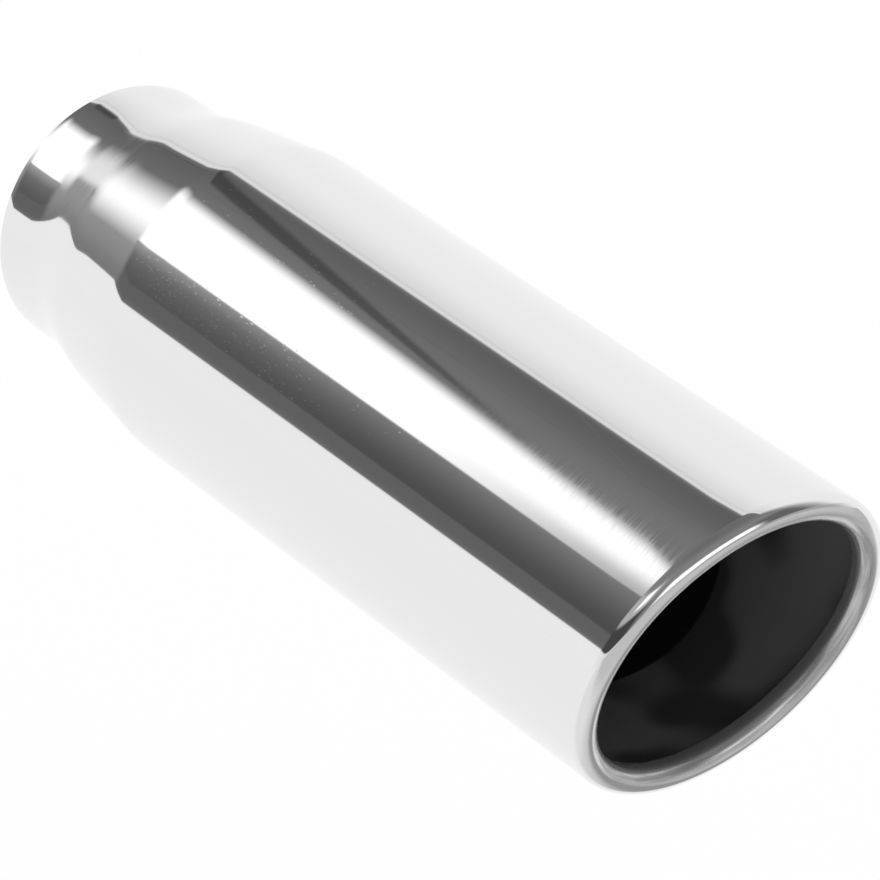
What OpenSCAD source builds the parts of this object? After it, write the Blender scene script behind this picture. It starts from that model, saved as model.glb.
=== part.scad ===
// Rolled-edge, slash-cut exhaust tip: one thin stainless shell, necked down at its inlet.
// The inlet bore starts at the origin and opens towards +Y. The mouth faces -Y, its long side up.

/* [Body] */
// Outside diameter of the body
body_d = 127; // [114:0.5:152]
// Length from the inlet rim to the far edge of the mouth's long side
overall_l = 383; // [250:1:520]
// Thickness of the sheet
wall = 1.2; // [1:0.1:2]

/* [Inlet] */
// Outside diameter of the tailpipe that the inlet slips over
pipe_d = 101.6; // [76:0.1:102]
// Clearance between the pipe and the inlet bore, on the radius
pipe_gap = 0.2; // [0.1:0.05:0.5]
// Length of the straight inlet neck
neck_l = 21; // [15:1:60]
// Length of the flare from the neck up to the body
shoulder_l = 69; // [50:1:120]
// Radius of the hollow bend where the neck turns into the flare
neck_bend_r = 35; // [10:1:60]
// Radius of the round bend where the flare turns into the body
body_bend_r = 122; // [40:1:160]

/* [Mouth] */
// Angle of the slash cut, from square
slash_deg = 16.6; // [0:0.1:20]
// Outside radius of the rolled edge
roll_r = 5; // [3:0.1:6]
// How far the turned-in edge runs back behind the middle of the roll
return_l = 2.7; // [0:0.1:8]

/* [Hidden] */
$fn = 180;

body_r = body_d / 2;
neck_r = pipe_d / 2 + pipe_gap + wall;
slope = tan(slash_deg);

// The two bends of the flare, made smaller alike where they would leave no cone between them
rise = body_r - neck_r;
bend_room = (pow(shoulder_l, 2) + pow(rise, 2)) / (2 * rise);
bend_share = min(1, 0.95 * bend_room / (neck_bend_r + body_bend_r));
neck_bend = bend_share * neck_bend_r;
body_bend = bend_share * body_bend_r;
bend_steps = 8;

// The straight cone that touches both bends
bend_span = [shoulder_l, rise - neck_bend - body_bend];
cone_deg = atan2(bend_span[1], bend_span[0]) + asin((neck_bend + body_bend) / norm(bend_span));

// The roll's centre lies on a slanted plane, which crosses the axis this far from the inlet rim
roll_ring_r = body_r - roll_r;
roll_reach = norm([roll_r, slope * roll_r]);
roll_z = overall_l - slope * roll_ring_r - roll_reach;
roll_steps = 16;

// The lip's plain wall reaches back inside the body's wall, where the two are one sheet
lip_wall_l = 6;
lip_lap = 12;
lip_inset = 0.05;

// Points of a circular arc in the plane of the profile: [radius from the axis, height]
function arc(centre, r, from, to, steps) = [
    for (i = [0:steps])
        let (a = from + (to - from) * i / steps)
        centre + r * [cos(a), sin(a)]
];

// The flare, on the sheet's outside, or below it by the given depth
function flare(depth) = concat(
    arc([neck_r + neck_bend, neck_l], neck_bend + depth, 180, 180 - cone_deg, bend_steps),
    arc([body_r - body_bend, neck_l + shoulder_l], body_bend - depth, -cone_deg, 0, bend_steps)
);

function reversed(points) = [for (i = [len(points) - 1:-1:0]) points[i]];

// Section of the neck, the flare and the body, up to a square end
module body_section() {
    polygon(concat(
        [[neck_r, 0]],
        flare(0),
        [[body_r, overall_l], [body_r - wall, overall_l]],
        reversed(flare(wall)),
        [[neck_r - wall, 0]]
    ));
}

// Section of the lip: the wall, the half-round roll and the edge that it turns back inside
module lip_section() {
    inner_r = roll_r - wall;
    polygon(concat(
        [[body_r - wall + lip_inset, -lip_wall_l - lip_lap], [body_r - lip_inset, -lip_wall_l - lip_lap]],
        [[body_r - lip_inset, -lip_wall_l / 2]],
        arc([roll_ring_r, 0], roll_r, 0, 180, roll_steps),
        return_l > 0 ? [[roll_ring_r - roll_r, -return_l], [roll_ring_r - inner_r, -return_l]] : [],
        arc([roll_ring_r, 0], inner_r, 180, 0, roll_steps),
        [[body_r - wall + lip_inset, -lip_wall_l / 2]]
    ));
}

// Everything beyond the slanted plane where the body's wall gives way to the lip
module slash_cut() {
    size = 3 * overall_l;
    translate([0, 0, roll_z - lip_wall_l])
        rotate([0, -slash_deg, 0])
            translate([-size / 2, -size / 2, 0])
                cube(size);
}

// A slide along the axis that grows across it turns a square ring into one that follows the slash
module slanted() {
    multmatrix([
        [1, 0, 0, 0],
        [0, 1, 0, 0],
        [slope, 0, 1, roll_z],
        [0, 0, 0, 1]
    ])
        children();
}

module tip_shell() {
    color([0.78, 0.79, 0.8])
        rotate([90, 0, 0])
            rotate([0, 0, 90]) {
                difference() {
                    rotate_extrude() body_section();
                    slash_cut();
                }
                slanted() rotate_extrude() lip_section();
            }
}

tip_shell();
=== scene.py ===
"""Dresses the exhaust tip: one polished stainless shell, held by its inlet over a white studio floor."""
import logging
import math
from dataclasses import dataclass, field
from enum import Enum
from typing import Any, Union

import bmesh
import bpy
from mathutils import Matrix, Vector


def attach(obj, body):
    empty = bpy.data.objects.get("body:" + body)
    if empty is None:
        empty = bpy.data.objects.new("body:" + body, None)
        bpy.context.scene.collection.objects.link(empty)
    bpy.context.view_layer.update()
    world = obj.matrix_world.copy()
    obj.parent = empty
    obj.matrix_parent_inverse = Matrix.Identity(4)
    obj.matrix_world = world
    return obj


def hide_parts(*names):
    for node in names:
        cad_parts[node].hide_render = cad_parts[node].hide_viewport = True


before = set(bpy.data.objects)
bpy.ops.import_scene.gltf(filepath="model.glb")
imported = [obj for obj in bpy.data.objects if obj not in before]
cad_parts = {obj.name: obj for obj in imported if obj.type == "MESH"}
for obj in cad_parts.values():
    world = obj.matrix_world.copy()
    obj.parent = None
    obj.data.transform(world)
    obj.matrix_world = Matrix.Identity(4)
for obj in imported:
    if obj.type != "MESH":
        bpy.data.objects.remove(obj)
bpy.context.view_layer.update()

log = logging.getLogger("exhaust_tip")
MM = 0.001
Colour = tuple[float, float, float, float]
Triple = tuple[float, float, float]


# Shader maths


class Wire:
    """A socket that takes part in Python arithmetic and adds the Math nodes for it."""

    def __init__(self, tree: bpy.types.NodeTree, socket: bpy.types.NodeSocket) -> None:
        """Wrap one output socket of a node tree.

        Args:
            tree: The node tree that the socket belongs to.
            socket: The output socket.
        """
        self.tree = tree
        self.socket = socket

    def _math(self, operation: str, *values: "Operand") -> "Wire":
        """Add a Math node.

        Args:
            operation: The node's operation.
            values: What its inputs take, in order.

        Returns:
            The node's result.
        """
        node = self.tree.nodes.new("ShaderNodeMath")
        node.operation = operation
        for place, value in enumerate(values):
            feed(self.tree, node.inputs[place], value)
        return Wire(self.tree, node.outputs[0])

    def __add__(self, other: "Operand") -> "Wire":
        """Return the sum."""
        return self._math("ADD", self, other)

    def __radd__(self, other: "Operand") -> "Wire":
        """Return the sum, with the number first."""
        return self._math("ADD", other, self)

    def __sub__(self, other: "Operand") -> "Wire":
        """Return the difference."""
        return self._math("SUBTRACT", self, other)

    def __rsub__(self, other: "Operand") -> "Wire":
        """Return the difference, with the number first."""
        return self._math("SUBTRACT", other, self)

    def __mul__(self, other: "Operand") -> "Wire":
        """Return the product."""
        return self._math("MULTIPLY", self, other)

    def __rmul__(self, other: "Operand") -> "Wire":
        """Return the product, with the number first."""
        return self._math("MULTIPLY", other, self)

    def __truediv__(self, other: "Operand") -> "Wire":
        """Return the quotient."""
        return self._math("DIVIDE", self, other)

    def __neg__(self) -> "Wire":
        """Return the value with its sign changed."""
        return self._math("MULTIPLY", self, -1.0)

    def __pow__(self, other: "Operand") -> "Wire":
        """Return the power."""
        return self._math("POWER", self, other)

    def larger(self, other: "Operand") -> "Wire":
        """Return the larger of two values."""
        return self._math("MAXIMUM", self, other)

    def smaller(self, other: "Operand") -> "Wire":
        """Return the smaller of two values."""
        return self._math("MINIMUM", self, other)

    def root(self) -> "Wire":
        """Return the square root."""
        return self._math("SQRT", self)

    def sibling(self, output: str) -> "Wire":
        """Return another output of the same node."""
        return Wire(self.tree, self.socket.node.outputs[output])

    def toward(self, target: "Operand", share: "Operand") -> "Wire":
        """Blend this value with another one.

        Args:
            target: The other value.
            share: 0 to keep this value, 1 to take the other.

        Returns:
            The blend.
        """
        return self + share * (target - self)

    def rise(self, start: float, end: float) -> "Wire":
        """Return 0 below start and 1 above end, with a smooth step between them.

        Args:
            start: Where the step starts. It may be above end, for a step down.
            end: Where the step is done.

        Returns:
            The step, from 0 to 1.
        """
        low, high = min(start, end), max(start, end)
        node = self.tree.nodes.new("ShaderNodeMapRange")
        node.interpolation_type = "SMOOTHSTEP"
        feed(self.tree, node.inputs["Value"], self)
        node.inputs["From Min"].default_value = low
        node.inputs["From Max"].default_value = high
        step = Wire(self.tree, node.outputs["Result"])
        return step if end >= start else 1 - step

    def band(self, low: float, high: float, soft: float) -> "Wire":
        """Return 1 between two values and 0 outside them.

        Args:
            low: The lower edge.
            high: The upper edge.
            soft: The width over which each edge fades.

        Returns:
            The band, from 0 to 1.
        """
        return self.rise(low - soft / 2, low + soft / 2) * self.rise(high + soft / 2, high - soft / 2)


Operand = Union[Wire, float, int]


def feed(tree: bpy.types.NodeTree, socket: bpy.types.NodeSocket, value: Any) -> None:
    """Link a wire to an input socket, or set the socket to a plain value.

    Args:
        tree: The node tree.
        socket: The input socket.
        value: A Wire, a number, or the numbers of a colour or vector.
    """
    if isinstance(value, Wire):
        tree.links.new(value.socket, socket)
    else:
        socket.default_value = value


class NodeBench:
    """Adds nodes to one node tree."""

    def __init__(self, tree: bpy.types.NodeTree) -> None:
        """Clear the tree and keep it.

        Args:
            tree: The node tree of a material or of the world.
        """
        self.tree = tree
        tree.nodes.clear()

    def node(self, kind: str, output: Union[str, int] = 0, settings: dict[str, Any] | None = None,
             **inputs: Any) -> Wire:
        """Add one node.

        Args:
            kind: The node's type, without the ShaderNode in front.
            output: The output socket that is returned.
            settings: The node's own settings, which are set first.
            inputs: What each input takes, by its name with underscores for spaces, or by its number.

        Returns:
            The chosen output.
        """
        node = self.tree.nodes.new("ShaderNode" + kind)
        for name, value in (settings or {}).items():
            setattr(node, name, value)
        for name, value in inputs.items():
            place = int(name) if name.isdigit() else name.replace("_", " ")
            feed(self.tree, node.inputs[place], value)
        return Wire(self.tree, node.outputs[output])

    def vector_math(self, operation: str, first: Any, second: Any) -> Wire:
        """Add a Vector Math node.

        Args:
            operation: The node's operation.
            first: The first vector.
            second: The second vector.

        Returns:
            The node's vector, or its value for an operation that gives one.
        """
        node = self.tree.nodes.new("ShaderNodeVectorMath")
        node.operation = operation
        feed(self.tree, node.inputs[0], first)
        feed(self.tree, node.inputs[1], second)
        gives_value = operation in {"DOT_PRODUCT", "LENGTH", "DISTANCE"}
        return Wire(self.tree, node.outputs["Value" if gives_value else "Vector"])

    def parts(self, vector: Wire) -> tuple[Wire, Wire, Wire]:
        """Split a vector.

        Args:
            vector: The vector.

        Returns:
            Its x, y and z.
        """
        node = self.tree.nodes.new("ShaderNodeSeparateXYZ")
        self.tree.links.new(vector.socket, node.inputs[0])
        x, y, z = (Wire(self.tree, output) for output in node.outputs)
        return x, y, z

    def mix_colour(self, factor: Operand, first: Any, second: Any) -> Wire:
        """Blend two colours.

        Args:
            factor: 0 for the first, 1 for the second.
            first: The first colour.
            second: The second colour.

        Returns:
            The blend.
        """
        node = self.tree.nodes.new("ShaderNodeMix")
        node.data_type = "RGBA"
        feed(self.tree, node.inputs[0], factor)
        feed(self.tree, node.inputs[6], first)
        feed(self.tree, node.inputs[7], second)
        return Wire(self.tree, node.outputs[2])

    def degrees(self, rise: Wire, run: Wire) -> Wire:
        """Return the angle of a direction, in degrees, from its rise and its run."""
        return self.node("Math", 0, {"operation": "ARCTAN2"}, **{"0": rise, "1": run}) * (180.0 / math.pi)

    def finish(self, kind: str, shader: Wire) -> None:
        """Link the last shader to the tree's output.

        Args:
            kind: OutputMaterial or OutputWorld.
            shader: The shader.
        """
        node = self.tree.nodes.new("ShaderNode" + kind)
        self.tree.links.new(shader.socket, node.inputs["Surface"])


# Finishes


@dataclass(frozen=True)
class PolishedSteel:
    """Mirror-polished stainless steel with faint turning lines round the tube."""

    colour: Colour = (0.81, 0.81, 0.82, 1.0)
    # Painted glint on the specks and scratches
    speck_glint_colour: Colour = (0.95, 0.95, 0.95, 1.0)
    # Painted shade: greys for the inner face of the roll and its turned-in edge, for the shade inside the
    # mouth
    roll_painted_shade_colour: Colour = (0.39, 0.39, 0.395, 1.0)
    turned_edge_shade_colour: Colour = (0.125, 0.125, 0.125, 1.0)
    roughness: float = 0.045
    line_depth: float = 0.0004 * MM
    speck_depth: float = 0.002 * MM

    # How many features of each pattern there are in a metre, along x, y and z
    cloud_grid: Triple = (22.0, 9.0, 22.0)
    streak_grid: Triple = (64.0, 1700.0, 64.0)
    line_grid: Triple = (3.0, 1400.0, 3.0)
    speck_grid: Triple = (1700.0, 620.0, 1700.0)

    # The rolled edge is rougher where it faces the axis and is painted a duller grey there as painted shade;
    # the edge that is turned in is painted dark grey as painted shade
    dull_and_shaded_start: float = 0.8 * MM
    dull_and_shaded_full: float = -2.0 * MM
    turned_start: float = 2.6 * MM
    turned_full: float = 0.2 * MM

    def make(self, shell: "TipShell") -> bpy.types.Material:
        """Build the material.

        Args:
            shell: The tip, for the place of its rolled edge.

        Returns:
            The material.
        """
        material = bpy.data.materials.new("polished_steel_finish")
        material.use_nodes = True
        bench = NodeBench(material.node_tree)
        place = bench.node("TexCoord", "Object")
        x, y, z = bench.parts(place)
        around = bench.degrees(z, x)
        cloud = self.grain(bench, place, self.cloud_grid, 2.0)
        lines = self.grain(bench, place, self.line_grid, 3.0)
        specks = self.specks(bench, place, cloud, self.speck_patches(around, y))
        scratch = self.scratches(around, y)

        inward = (x * x + z * z).root() - shell.ring_r
        forward = -y - shell.slope * z - shell.roll_y
        # The inner face of the roll gets more roughness and painted shade
        inner = inward.rise(self.dull_and_shaded_start, self.dull_and_shaded_full) * forward.rise(-12.0 * MM, -10.0 * MM)
        turned_in = inner * forward.rise(self.turned_start, self.turned_full)
        along_ring = bench.node("CombineXYZ", X=inward * 900.0, Y=forward * 900.0, Z=around * 0.06)
        ring_lines = self.grain(bench, along_ring, (1.0, 1.0, 1.0), 3.0).rise(0.30, 0.70)

        # Specks and scratches are rougher, and also painted brighter: a painted glint
        tint = bench.mix_colour(0.45 * (specks + scratch).smaller(1.0), self.colour, self.speck_glint_colour)
        # Painted shade: a duller grey on the roll's inner face and dark grey on its turned-in edge
        tint = bench.mix_colour(inner * (0.55 + 0.55 * ring_lines).smaller(1.0), tint, self.roll_painted_shade_colour)
        tint = bench.mix_colour(turned_in, tint, self.turned_edge_shade_colour)
        roughness = self.roughness + 0.02 * cloud + self.brush_marks(bench, place, around, y)
        roughness = roughness + 0.16 * specks + 0.12 * scratch + inner * (0.12 + 0.16 * ring_lines)
        height = lines * self.line_depth + specks * self.speck_depth
        normal = bench.node("Bump", "Normal", Strength=1.0, Distance=1.0, Height=height)
        # Less metal on the roll's inner face and turned-in edge goes with the painted shade
        metal = 1.0 - 0.25 * inner - 0.60 * turned_in
        steel = bench.node("BsdfPrincipled", "BSDF", Base_Color=tint, Metallic=metal, Roughness=roughness,
                           Normal=normal)
        bench.finish("OutputMaterial", steel)
        return material

    def brush_marks(self, bench: NodeBench, place: Wire, around: Wire, y: Wire) -> Wire:
        """Brush the steel round the tube on the flare and near the mouth.

        Args:
            bench: The material's bench.
            place: The place on the tube.
            around: The place round the tube, in degrees.
            y: The place along it.

        Returns:
            What the marks add to the roughness.
        """
        mouth_end = y.rise(-0.215, -0.335) * around.band(110.0, 133.0, 10.0)
        flare = y.band(-0.052, -0.024, 0.010) * around.band(104.0, 146.0, 12.0)
        streak = self.grain(bench, place, self.streak_grid, 2.0).rise(0.38, 0.66)
        return (mouth_end * 0.85 + flare).smaller(1.0) * (0.03 + 0.10 * streak)

    def speck_patches(self, around: Wire, y: Wire) -> Wire:
        """Choose the two strips along the body that have specks.

        Args:
            around: The place round the tube, in degrees.
            y: The place along it.

        Returns:
            The strips, up to 1 where the specks are dense.
        """
        low_strip = around.band(136.0, 150.0, 8.0)
        high_strip = around.band(104.0, 119.0, 6.0)
        return y.rise(-0.082, -0.100) * y.rise(-0.30, -0.13) * (low_strip + 0.55 * high_strip)

    def grain(self, bench: NodeBench, place: Wire, stretch: Triple, detail: float) -> Wire:
        """Add noise that is stretched along or round the tube.

        Args:
            bench: The material's bench.
            place: The place on the tube.
            stretch: How many features there are in a metre, along each axis.
            detail: How many finer layers it has.

        Returns:
            The noise, from 0 to 1.
        """
        stretched = bench.vector_math("MULTIPLY", place, stretch)
        return bench.node("TexNoise", Vector=stretched, Scale=1.0, Detail=detail)

    def specks(self, bench: NodeBench, place: Wire, cloud: Wire, patches: Wire) -> Wire:
        """Scatter short polishing specks along the tube; they are rougher and bumped, and the material also
        paints them brighter as a painted glint.

        Args:
            bench: The material's bench.
            place: The place on the tube.
            cloud: Noise that is high where the specks are dense.
            patches: 1 where there are specks at all.

        Returns:
            The specks, 1 on each and 0 between them.
        """
        stretched = bench.vector_math("MULTIPLY", place, self.speck_grid)
        near = bench.node("TexVoronoi", "Distance", {"feature": "F1"}, Vector=stretched, Scale=1.0)
        chosen, _, _ = bench.parts(near.sibling("Color"))
        share = patches * (0.35 + 0.65 * cloud.rise(0.42, 0.62))
        return near.rise(0.55, 0.25) * (chosen + 0.20 * share).rise(0.995, 1.03)

    def scratches(self, around: Wire, y: Wire) -> Wire:
        """Draw the few fine scratches near the mouth; they are rougher, and the material also paints them
        brighter as a painted glint.

        Args:
            around: The place round the tube, in degrees.
            y: The place along it.

        Returns:
            The scratches, 1 on each and 0 off them.
        """
        fade = 0.10
        long_line = around - 103.0 + 190.0 * (y + 0.305)
        long_one = long_line.band(-0.07, 0.07, fade) * y.band(-0.338, -0.296, 0.006)
        short_line = around - 113.5 - 90.0 * (y + 0.262)
        short_one = short_line.band(-0.06, 0.06, fade) * y.band(-0.275, -0.250, 0.006)
        low_line = around - 149.0 + 60.0 * (y + 0.19)
        low_one = low_line.band(-0.05, 0.05, fade) * y.band(-0.215, -0.170, 0.008)
        return (0.8 * long_one + 0.6 * short_one + 0.5 * low_one).smaller(1.0)


@dataclass(frozen=True)
class DarkLining:
    """The smooth dark inside of the tip, with painted patches of light near the mouth and painted deep
    shade, black, further in.
    """

    dark: Colour = (0.042, 0.042, 0.043, 1.0)
    # Painted light: the lighter tone of the patches near the mouth
    pale: Colour = (0.125, 0.125, 0.126, 1.0)
    # Painted shade for the deep part of the tube
    deep_shade_colour: Colour = (0.006, 0.006, 0.006, 1.0)
    roughness: float = 0.32
    bump_depth: float = 0.03 * MM

    # The arc where the painted deep shade starts: the way it runs across the tube, its depth in the middle,
    # and its tilt
    arc_x: float = 0.691
    arc_z: float = -0.723
    arc_depth: float = 0.2433
    arc_tilt: float = 0.0492
    bore_r: float = 62.3 * MM

    def make(self) -> bpy.types.Material:
        """Build the material.

        Returns:
            The material.
        """
        material = bpy.data.materials.new("dark_lining")
        material.use_nodes = True
        bench = NodeBench(material.node_tree)
        place = bench.node("TexCoord", "Object")
        x, y, z = bench.parts(place)
        # Painted light: broad noise lightens the dark coat in soft patches that stand in for light coming in
        # through the mouth
        broad = bench.node("TexNoise", Vector=place, Scale=26.0, Detail=1.0)
        coat_light_and_shade = bench.mix_colour(broad.rise(0.44, 0.60), self.dark, self.pale)
        # Painted shade: past the tilted arc the lining turns black, for the deep part of the tube that no
        # light reaches
        across = (x * self.arc_x + z * self.arc_z) / self.bore_r
        past_arc = -y - self.arc_depth - self.arc_tilt * across
        coat_light_and_shade = bench.mix_colour(past_arc.rise(0.6 * MM, -0.6 * MM), coat_light_and_shade, self.deep_shade_colour)
        fine = bench.node("TexNoise", Vector=place, Scale=140.0, Detail=3.0)
        roughness = self.roughness + 0.08 * (fine - 0.5)
        normal = bench.node("Bump", "Normal", Strength=1.0, Distance=self.bump_depth, Height=fine)
        lining = bench.node("BsdfPrincipled", "BSDF", Base_Color=coat_light_and_shade, Roughness=roughness, IOR=1.45,
                            Normal=normal)
        bench.finish("OutputMaterial", lining)
        return material


# The shell


class Side(Enum):
    """Which finish a stretch of the section takes, as the number of its material slot."""

    STEEL = 0
    LINING = 1


@dataclass
class SectionPen:
    """Draws the sheet's section in the YZ plane, from the tube's axis outwards along +Z.

    The heading is 0 along -Y, out of the mouth, and 90 along +Z, away from the axis.
    """

    mesh: bmesh.types.BMesh
    tip: bmesh.types.BMVert
    heading: float = 0.0
    drawn: list[bmesh.types.BMEdge] = field(default_factory=list)

    def line(self, length: float, steps: int = 1) -> "SectionPen":
        """Draw a straight stretch.

        Args:
            length: Its length.
            steps: How many edges it has.

        Returns:
            The pen.
        """
        angle = math.radians(self.heading)
        move = Vector((0.0, -math.cos(angle), math.sin(angle))) * (length / steps)
        for _ in range(steps):
            made = bmesh.ops.extrude_vert_indiv(self.mesh, verts=[self.tip])
            self.tip = made["verts"][0]
            self.drawn += made["edges"]
            bmesh.ops.translate(self.mesh, verts=[self.tip], vec=move)
        return self

    def bend(self, radius: float, turn: float, steps: int) -> "SectionPen":
        """Draw an arc that starts along the heading.

        Args:
            radius: The arc's radius.
            turn: How far it turns, in degrees, positive away from the axis.
            steps: How many edges it has.

        Returns:
            The pen.
        """
        side = math.radians(self.heading + math.copysign(90.0, turn))
        centre = self.tip.co + Vector((0.0, -math.cos(side), math.sin(side))) * radius
        before = set(self.mesh.edges)
        made = bmesh.ops.spin(self.mesh, geom=[self.tip], cent=centre, axis=(1.0, 0.0, 0.0),
                              angle=-math.radians(turn), steps=steps, use_merge=False, use_duplicate=False)
        self.drawn += [edge for edge in self.mesh.edges if edge not in before]
        self.tip = next(item for item in made["geom_last"] if isinstance(item, bmesh.types.BMVert))
        self.heading += turn
        return self


@dataclass
class TipShell:
    """The whole tip: one sheet that is necked down at the inlet and rolled in round the slash-cut mouth."""

    body_r: float = 63.48 * MM
    overall_l: float = 383.0 * MM
    wall: float = 1.2 * MM
    neck_r: float = 52.2 * MM
    neck_l: float = 16.0 * MM
    slash_deg: float = 16.6
    roll_r: float = 5.0 * MM
    return_l: float = 2.7 * MM
    edge_r: float = 0.25 * MM
    merge_gap: float = 0.01 * MM

    # How many edges each stretch of the section has, and how many sections stand round the tube
    neck_steps: int = 4
    body_steps: int = 20
    roll_steps: int = 28
    lining_roll_steps: int = 20
    return_steps: int = 2
    edge_steps: int = 3
    steps_round: int = 256

    # The flare's bends: radius and turn, in order from the neck
    neck_bend: tuple[float, float] = (68.0 * MM, 13.6)
    dip_bend: tuple[float, float] = (94.0 * MM, -6.3)
    lift_bend: tuple[float, float] = (400.0 * MM, 1.2)
    body_bend: tuple[float, float] = (61.0 * MM, -8.5)
    first_cone_l: float = 10.0 * MM

    @property
    def slope(self) -> float:
        """How far the mouth's plane runs along the axis for each unit across it."""
        return math.tan(math.radians(self.slash_deg))

    @property
    def ring_r(self) -> float:
        """The radius of the ring that the middle of the roll follows."""
        return self.body_r - self.roll_r

    @property
    def roll_y(self) -> float:
        """How far the roll's middle is from the inlet rim, on the axis."""
        reach = math.hypot(self.roll_r, self.slope * self.roll_r)
        return self.overall_l - self.slope * self.ring_r - reach

    def flare_strokes(self) -> list[tuple[float, float, int]]:
        """List the flare's stretches on the sheet's outer face, from the neck to the body.

        Returns:
            The length or radius of each, its turn in degrees, which is 0 for a cone, and its edges.
        """
        bends = [self.neck_bend, self.dip_bend, self.lift_bend, self.body_bend]
        headings = [0.0]
        climb = 0.0
        for radius, turn in bends:
            start = math.radians(headings[-1])
            headings.append(headings[-1] + turn)
            climb += abs(radius * (math.cos(math.radians(headings[-1])) - math.cos(start)))
        climb += self.first_cone_l * math.sin(math.radians(headings[1]))
        second_cone_l = (self.body_r - self.neck_r - climb) / math.sin(math.radians(headings[3]))
        return [
            (*self.neck_bend, 10),
            (self.first_cone_l, 0.0, 4),
            (*self.dip_bend, 6),
            (*self.lift_bend, 6),
            (second_cone_l, 0.0, 3),
            (*self.body_bend, 14),
        ]

    def flare(self, pen: SectionPen, depth: float, back: bool) -> None:
        """Draw the flare between the neck and the body.

        Args:
            pen: The pen, at the neck, or at the body when it comes back.
            depth: How far inside the sheet's outer face the line runs.
            back: Whether the pen comes back from the body to the neck.
        """
        strokes = self.flare_strokes()
        for size, turn, steps in (reversed(strokes) if back else strokes):
            if turn == 0.0:
                pen.line(size, steps)
                continue
            radius = size + (depth if turn > 0 else -depth)
            pen.bend(radius, -turn if back else turn, steps)

    def flare_length(self) -> float:
        """Measure the flare along the axis.

        Returns:
            Its length.
        """
        probe = bmesh.new()
        pen = SectionPen(probe, probe.verts.new((0.0, 0.0, self.neck_r)))
        self.flare(pen, 0.0, back=False)
        length = -pen.tip.co.y
        probe.free()
        return length

    def draw_section(self, mesh: bmesh.types.BMesh) -> dict[Side, list[bmesh.types.BMEdge]]:
        """Draw the closed section of the sheet.

        Args:
            mesh: The mesh to draw in.

        Returns:
            The section's edges, by the finish they take.
        """
        start = mesh.verts.new((0.0, -self.edge_r, self.neck_r))
        neck_l = self.neck_l - self.edge_r
        body_l = self.roll_y - self.neck_l - self.flare_length()
        return_l = self.return_l - self.edge_r
        pen = SectionPen(mesh, start)
        pen.line(neck_l, self.neck_steps)
        self.flare(pen, 0.0, back=False)
        pen.line(body_l, self.body_steps)
        pen.bend(self.roll_r, -180.0, self.roll_steps)
        pen.line(return_l, self.return_steps)
        self.sheet_edge(pen)
        steel = list(pen.drawn)
        pen.drawn = []
        pen.heading = 0.0
        pen.line(return_l, self.return_steps)
        pen.bend(self.roll_r - self.wall, 180.0, self.lining_roll_steps)
        pen.line(body_l, self.body_steps)
        self.flare(pen, self.wall, back=True)
        pen.line(neck_l, self.neck_steps)
        lining = list(pen.drawn)
        pen.drawn = []
        self.sheet_edge(pen)
        steel += pen.drawn
        return {Side.STEEL: steel, Side.LINING: lining}

    def sheet_edge(self, pen: SectionPen) -> None:
        """Draw the sheet's cut edge, with its two corners eased, and turn back along the other face.

        Args:
            pen: The pen, at the end of one face of the sheet.
        """
        pen.bend(self.edge_r, -90.0, self.edge_steps)
        pen.line(self.wall - 2 * self.edge_r)
        pen.bend(self.edge_r, -90.0, self.edge_steps)

    def spin_round(self, mesh: bmesh.types.BMesh, section: dict[Side, list[bmesh.types.BMEdge]]) -> None:
        """Spin the section once round the tube's axis.

        Args:
            mesh: The mesh that holds the section.
            section: The section's edges, by the finish they take.
        """
        for side, edges in section.items():
            before = set(mesh.faces)
            points = list(dict.fromkeys(vert for edge in edges for vert in edge.verts))
            bmesh.ops.spin(mesh, geom=points + edges, cent=(0.0, 0.0, 0.0), axis=(0.0, 1.0, 0.0),
                           angle=2 * math.pi, steps=self.steps_round, use_merge=True)
            for face in mesh.faces:
                if face not in before:
                    face.material_index = side.value
        bmesh.ops.remove_doubles(mesh, verts=mesh.verts[:], dist=self.merge_gap)
        bmesh.ops.recalc_face_normals(mesh, faces=mesh.faces[:])

    def slide_to_slash(self, mesh: bmesh.types.BMesh) -> None:
        """Slide the points along the axis so that the roll follows the slash cut.

        Args:
            mesh: The mesh of the square-ended tube.
        """
        start = self.neck_l + self.flare_length()
        for vert in mesh.verts:
            share = min(max((-vert.co.y - start) / (self.roll_y - start), 0.0), 1.0)
            height = vert.co.z / math.hypot(vert.co.x, vert.co.z)
            if -vert.co.y > self.roll_y - self.return_l - self.edge_r and self.in_roll(vert.co):
                share = 1.0
            vert.co.y -= self.slope * self.ring_r * height * share

    def settle_order(self, mesh: bmesh.types.BMesh) -> None:
        """Put the points and faces in a fixed order, because the spin leaves them in another one each run.

        Args:
            mesh: The finished mesh.
        """
        points = sorted(mesh.verts, key=lambda vert: tuple(vert.co))
        point_rank = {vert: number for number, vert in enumerate(points)}
        faces = sorted(mesh.faces, key=lambda face: sorted(point_rank[vert] for vert in face.verts))
        face_rank = {face: number for number, face in enumerate(faces)}
        mesh.verts.sort(key=lambda vert: point_rank[vert])
        mesh.faces.sort(key=lambda face: face_rank[face])
        mesh.verts.index_update()
        mesh.faces.index_update()

    def in_roll(self, point: Vector) -> bool:
        """Tell whether a point of the square-ended tube is on the roll or its turned-in edge."""
        return math.hypot(point.x, point.z) < self.body_r - self.wall - self.edge_r or -point.y > self.roll_y

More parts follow.
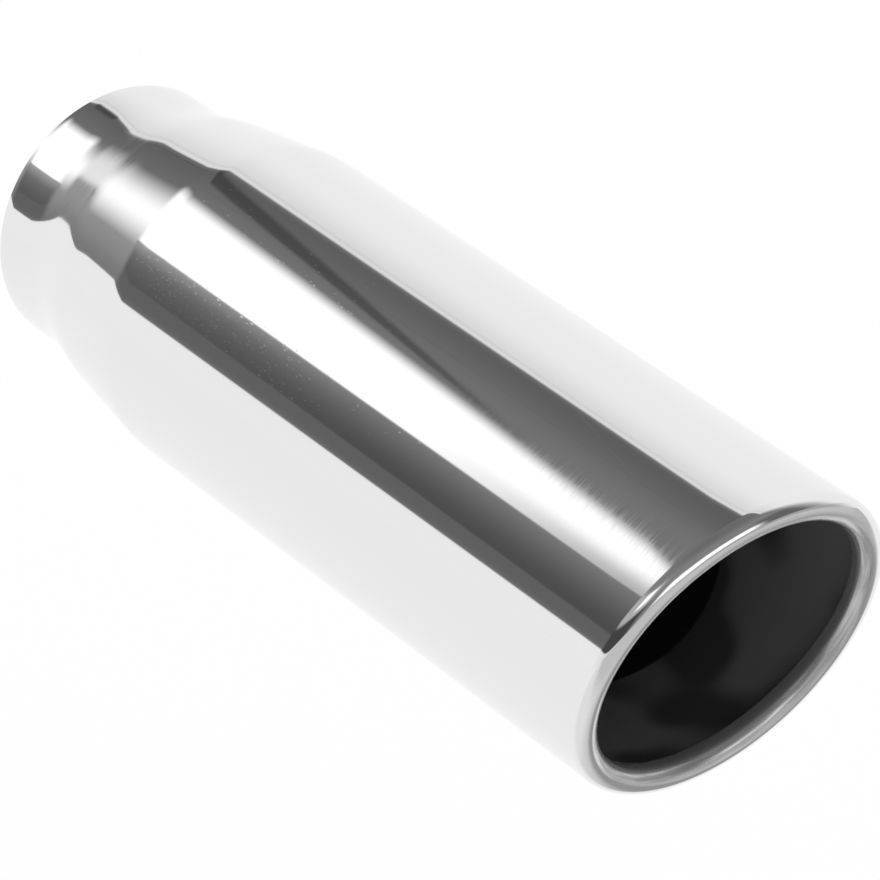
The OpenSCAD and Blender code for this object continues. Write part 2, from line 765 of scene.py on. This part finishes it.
    def build(self) -> bpy.types.Object:
        """Build the shell, dress it and tie it to the frame.

        Returns:
            The finished piece.
        """
        mesh = bmesh.new()
        self.spin_round(mesh, self.draw_section(mesh))
        self.slide_to_slash(mesh)
        self.settle_order(mesh)
        for face in mesh.faces:
            face.smooth = True
        data = bpy.data.meshes.new("tip_shell_dressed")
        mesh.to_mesh(data)
        mesh.free()
        piece = bpy.data.objects.new("tip_shell_dressed", data)
        bpy.context.collection.objects.link(piece)
        data.materials.append(PolishedSteel().make(self))
        data.materials.append(DarkLining().make())
        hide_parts("tip_shell")
        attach(piece, "root")
        log.info("%s: %d faces", piece.name, len(data.polygons))
        return piece


# The studio


@dataclass
class Studio:
    """A white floor and the room round it, which the steel mirrors."""

    floor_z: float = -0.32
    floor_r: float = 12.0
    floor_glow: float = 0.88
    room_r: float = 1.6
    room_centre: Triple = (0.0, -0.19, 0.0)
    card_half: float = 1.6
    card_back: float = -0.26
    card_lift: float = 0.003
    lamp_place: Triple = (0.3, -0.3, 3.0)
    lamp_size: float = 2.5
    lamp_watts: float = 10.0

    # The camera: what it looks at, and where it stands from there, in degrees and metres
    camera_aim: Triple = (0.0, -0.2023, 0.0009)
    camera_azimuth: float = -36.656
    camera_elevation: float = 31.685
    camera_distance: float = 1.9043
    camera_lens: float = 223.05

    def floor(self) -> bpy.types.Object:
        """Lay the white floor.

        Returns:
            The floor.
        """
        mesh = bmesh.new()
        bmesh.ops.create_circle(mesh, cap_ends=True, radius=self.floor_r, segments=96,
                                matrix=Matrix.Translation((0.0, 0.0, self.floor_z)))
        floor = self.stage("studio_floor", mesh)
        material = bpy.data.materials.new("studio_floor_white")
        material.use_nodes = True
        bench = NodeBench(material.node_tree)
        seen = bench.node("LightPath", "Is Camera Ray")
        looked_at = seen.larger(seen.sibling("Is Glossy Ray")).larger(seen.sibling("Is Transmission Ray"))
        paint = bench.node("BsdfDiffuse", "BSDF", Color=(0.9, 0.9, 0.9, 1.0))
        glow = bench.node("Emission", "Emission", Color=(1.0, 1.0, 1.0, 1.0), Strength=1.0)
        mixed = bench.node("MixShader", "Shader", Fac=looked_at * self.floor_glow, **{"1": paint, "2": glow})
        bench.finish("OutputMaterial", mixed)
        floor.data.materials.append(material)
        return floor

    def room(self) -> bpy.types.Object:
        """Raise the round wall of paper, flags and softboxes that the steel mirrors.

        Returns:
            The wall, which only glossy surfaces see.
        """
        mesh = bmesh.new()
        bmesh.ops.create_uvsphere(mesh, u_segments=96, v_segments=48, radius=self.room_r,
                                  matrix=Matrix.Translation(self.room_centre))
        bmesh.ops.reverse_faces(mesh, faces=mesh.faces[:])
        room = self.stage("studio_room", mesh)
        self.only_mirrored(room)
        material = bpy.data.materials.new("studio_room_walls")
        material.use_nodes = True
        material.cycles.emission_sampling = "NONE"
        bench = NodeBench(material.node_tree)
        place = bench.vector_math("SUBTRACT", bench.node("TexCoord", "Object"), self.room_centre)
        x, y, z = bench.parts(bench.vector_math("NORMALIZE", place, (0.0, 0.0, 0.0)))
        light = self.wall_light(bench, x, y, z)
        bench.finish("OutputMaterial", bench.node("Emission", "Emission", Color=light))
        room.data.materials.append(material)
        return room

    def only_mirrored(self, thing: bpy.types.Object) -> None:
        """Let only glossy rays see a part of the set.

        Args:
            thing: The part of the set.
        """
        thing.visible_camera = False
        thing.visible_diffuse = False
        thing.visible_shadow = False

    def wall_light(self, bench: NodeBench, x: Wire, y: Wire, z: Wire) -> Wire:
        """Work out how bright the round wall is at each place.

        Args:
            bench: The bench of the wall's material.
            x: The place to the right of the room's middle, where 1 is on the wall.
            y: The place behind its middle.
            z: The place above it.

        Returns:
            The brightness, where 1 is white.
        """
        angle = bench.degrees(z, x)
        turn = bench.degrees(x, -y)
        behind = y.rise(0.36, 0.50)
        far = y.rise(0.83, 0.885)
        pale_start = (0.279 - 0.385 * (y - 0.733)).larger(0.252).smaller(0.40) + 0.017 * y.rise(0.92, 0.96)
        inside = x - pale_start

        ceiling = self.ceiling_light(x, y, far, inside)
        dark = ceiling.toward(self.left_light(angle, y, z, far), angle.rise(118.0, 128.0))
        back = dark.larger(self.softbox_light(angle, y, far))
        pale = 0.82 + 0.18 * inside.rise(0.0, 0.28)
        pale = pale - 0.07 * inside.band(0.032, 0.052, 0.01) + 0.05 * inside.band(0.008, 0.028, 0.01)
        walls = self.front_light(turn, z).toward(back, behind)
        walls = walls.toward(pale, inside.rise(-0.009, 0.009) * turn.rise(44.0, 72.0))

        front_horizon = -0.15 * turn.rise(-112.0, -60.0) * turn.rise(-20.0, -40.0)
        horizon = z - 0.012 * behind - (1.0 - behind) * front_horizon
        ground = 0.55 + 0.38 * turn.rise(-20.0, -100.0) - 0.12 * turn.band(0.0, 60.0, 30.0)
        ground = ground.toward(pale, turn.rise(55.0, 85.0)).toward(1.0, behind)
        return walls.toward(ground, horizon.rise(0.004, -0.004))

    def ceiling_light(self, x: Wire, y: Wire, far: Wire, inside: Wire) -> Wire:
        """Work out the dark ceiling over the back half, with a darker strip across it.

        Args:
            x: The place to the right of the room's middle, where 1 is on the wall.
            y: The place behind its middle.
            far: 1 at the far back, which the flare and the neck mirror.
            inside: How far the place is past the pale wall's edge.

        Returns:
            The brightness, where 1 is white.
        """
        ceiling = 0.135 + 0.07 * x.rise(0.27, -0.15) + 0.05 * inside.rise(-0.045, 0.0)
        strip_gap = y - 0.688 - 0.34 * x
        strip_half = (0.019 * (x + 0.27) / 0.36).larger(0.0005).smaller(0.022)
        in_strip = (strip_gap * strip_gap).root() / strip_half
        strip = in_strip.rise(1.35, 0.65) * x.rise(-0.24, -0.12) * inside.rise(0.0, -0.03)
        thin_line = inside.band(-0.260, -0.250, 0.004)
        far_lines = inside.band(-0.036, -0.030, 0.005) + inside.rise(-0.016, -0.006)
        ceiling = ceiling * (1.0 - 0.52 * strip) * (1.0 - 0.10 * thin_line)
        return ceiling * (1.0 - 0.40 * far * far_lines)

    def left_light(self, angle: Wire, y: Wire, z: Wire, far: Wire) -> Wire:
        """Work out the dark left side of the back half, up to the horizon.

        Args:
            angle: The place round the tube's axis, in degrees, where 90 is up and 180 left.
            y: The place behind the room's middle.
            z: The place above it.
            far: 1 at the far back, which the flare and the neck mirror.

        Returns:
            The brightness, where 1 is white.
        """
        climb = ((165.3 - angle) / 25.0).larger(0.0).smaller(1.0)
        near_inlet = y.rise(0.64, 0.77)
        upper = 0.09 + 0.14 * climb ** 1.5 + near_inlet * (0.025 + 0.16 * angle.rise(151.0, 139.0))
        lower = 0.14 + 0.03 * z.rise(0.08, 0.0)
        left = upper.toward(lower, z.rise(0.171, 0.167))
        return left.toward(0.22 + 0.12 * angle.rise(180.0, 145.0), far)

    def softbox_light(self, angle: Wire, y: Wire, far: Wire) -> Wire:
        """Work out the long softbox overhead, and the softer ones at the far back.

        Args:
            angle: The place round the tube's axis, in degrees, where 90 is up and 180 left.
            y: The place behind the room's middle.
            far: 1 at the far back, which the flare and the neck mirror.

        Returns:
            The brightness, where 1 is white.
        """
        along = y - 0.732
        top = ((angle - 92.3 + 88.0 * along) / (13.9 + 15.0 * along)).rise(0.0, 1.0)
        low = angle.rise(141.3, 139.6)
        fade = y.rise(0.66, 0.56) * angle.rise(124.0, 139.0)
        box = top * low * (1.32 - 0.75 * fade)
        far_box = angle.rise(78.0, 118.0) * angle.rise(161.0, 119.0) * 1.26
        farther_box = angle.rise(56.0, 92.0) * angle.rise(132.0, 116.0) * 0.94
        return box.toward(far_box.toward(farther_box, y.rise(0.91, 0.96)), far)

    def front_light(self, turn: Wire, z: Wire) -> Wire:
        """Work out the front half of the round wall, which the rolled edge mirrors.

        Args:
            turn: The direction seen from above, in degrees, where 0 is out of the mouth and 90 to the right.
            z: The place above the room's middle.

        Returns:
            The brightness, where 1 is white.
        """
        flag = z.band(-0.4, 0.55, 0.2) * turn.band(22.0, 46.0, 8.0)
        low_flag = z.band(-0.20, 0.26, 0.10) * turn.band(-165.0, -44.0, 16.0)
        card = z.band(0.28, 0.62, 0.10) * turn.band(-125.0, -50.0, 16.0)
        softbox = z.band(0.40, 0.60, 0.06) * turn.band(-82.0, -58.0, 8.0)
        window = z.band(-0.24, 0.30, 0.16) * turn.band(-27.0, 22.0, 12.0)
        walls = 0.25 - 0.08 * z.rise(0.66, 1.02) - 0.10 * flag
        walls = walls.toward(0.065, low_flag).toward(0.50, card)
        return walls.toward(1.25, softbox).toward(1.50, window)

    def front_card(self) -> bpy.types.Object:
        """Lay a card on the floor before the mouth, with painted shade: the floor there as the steel mirrors
        it, grey, and darkest to the right front of the mouth, where the tip's own shadow falls.

        Returns:
            The card, which only glossy surfaces see.
        """
        mesh = bmesh.new()
        middle = (0.0, self.card_back - self.card_half, self.floor_z + self.card_lift)
        bmesh.ops.create_grid(mesh, x_segments=1, y_segments=1, size=self.card_half,
                              matrix=Matrix.Translation(middle))
        card = self.stage("front_card", mesh)
        self.only_mirrored(card)
        material = bpy.data.materials.new("front_card_painted_floor_shade")
        material.use_nodes = True
        bench = NodeBench(material.node_tree)
        x, y, _ = bench.parts(bench.node("TexCoord", "Object"))
        # Painted shade and painted shadow: grey floor in front, darkest where the tip's own shadow falls,
        # near white close under the tip
        painted_floor_shade = 0.34 + 0.36 * x.rise(0.13, 0.0) + 0.18 * x.rise(0.02, -0.16) + 0.20 * x.rise(0.20, 0.36)
        painted_floor_shade = painted_floor_shade.toward(0.62, y.rise(-0.50, -0.70))
        white_start = (-0.265 - 0.75 * x).larger(-0.455).smaller(-0.24)
        painted_floor_shade = painted_floor_shade.toward(1.0, (y - white_start).rise(-0.025, 0.025))
        painted_floor_shade = painted_floor_shade.toward(0.95, y.rise(-0.34, -0.262))
        bench.finish("OutputMaterial", bench.node("Emission", "Emission", Color=painted_floor_shade))
        card.data.materials.append(material)
        return card

    def lamp(self) -> bpy.types.Object:
        """Hang one wide soft lamp over the set, for the floor's shadow.

        Returns:
            The lamp.
        """
        data = bpy.data.lights.new("overhead_softbox", "AREA")
        data.shape = "DISK"
        data.size = self.lamp_size
        data.energy = self.lamp_watts
        lamp = bpy.data.objects.new("overhead_softbox", data)
        lamp.location = self.lamp_place
        lamp.visible_glossy = False
        bpy.context.collection.objects.link(lamp)
        return lamp

    def world(self) -> None:
        """Give the world the plain white of the paper backdrop."""
        world = bpy.data.worlds.new("studio_backdrop")
        bpy.context.scene.world = world
        world.use_nodes = True
        bench = NodeBench(world.node_tree)
        bench.finish("OutputWorld", bench.node("Background", "Background", Color=(1.0, 1.0, 1.0, 1.0)))

    def camera(self) -> bpy.types.Object:
        """Set up the camera at the photograph's place.

        Returns:
            The camera.
        """
        azimuth = math.radians(self.camera_azimuth)
        elevation = math.radians(self.camera_elevation)
        level = math.cos(elevation)
        away = Vector((math.sin(azimuth) * level, -math.cos(azimuth) * level, math.sin(elevation)))
        data = bpy.data.cameras.new("photo_camera")
        data.lens = self.camera_lens
        data.sensor_width = 36.0
        camera = bpy.data.objects.new("photo_camera", data)
        camera.location = Vector(self.camera_aim) + away * self.camera_distance
        camera.rotation_euler = (-away).to_track_quat("-Z", "Y").to_euler()
        bpy.context.collection.objects.link(camera)
        bpy.context.scene.camera = camera
        return camera

    def stage(self, name: str, mesh: bmesh.types.BMesh) -> bpy.types.Object:
        """Make a part of the set from a mesh.

        Args:
            name: Its name.
            mesh: Its mesh, which is freed.

        Returns:
            The object.
        """
        data = bpy.data.meshes.new(name)
        mesh.to_mesh(data)
        mesh.free()
        thing = bpy.data.objects.new(name, data)
        bpy.context.collection.objects.link(thing)
        return thing

    def build(self) -> None:
        """Set up the floor, the room, the lamp, the world and the camera."""
        self.floor()
        self.room()
        self.front_card()
        self.lamp()
        self.world()
        self.camera()
        bpy.context.scene.view_settings.view_transform = "Standard"
        log.info("studio is up")


def main() -> None:
    """Build the tip and its studio."""
    logging.basicConfig(level=logging.INFO, format="%(name)s: %(message)s")
    TipShell().build()
    Studio().build()


if __name__ == "__main__":
    main()
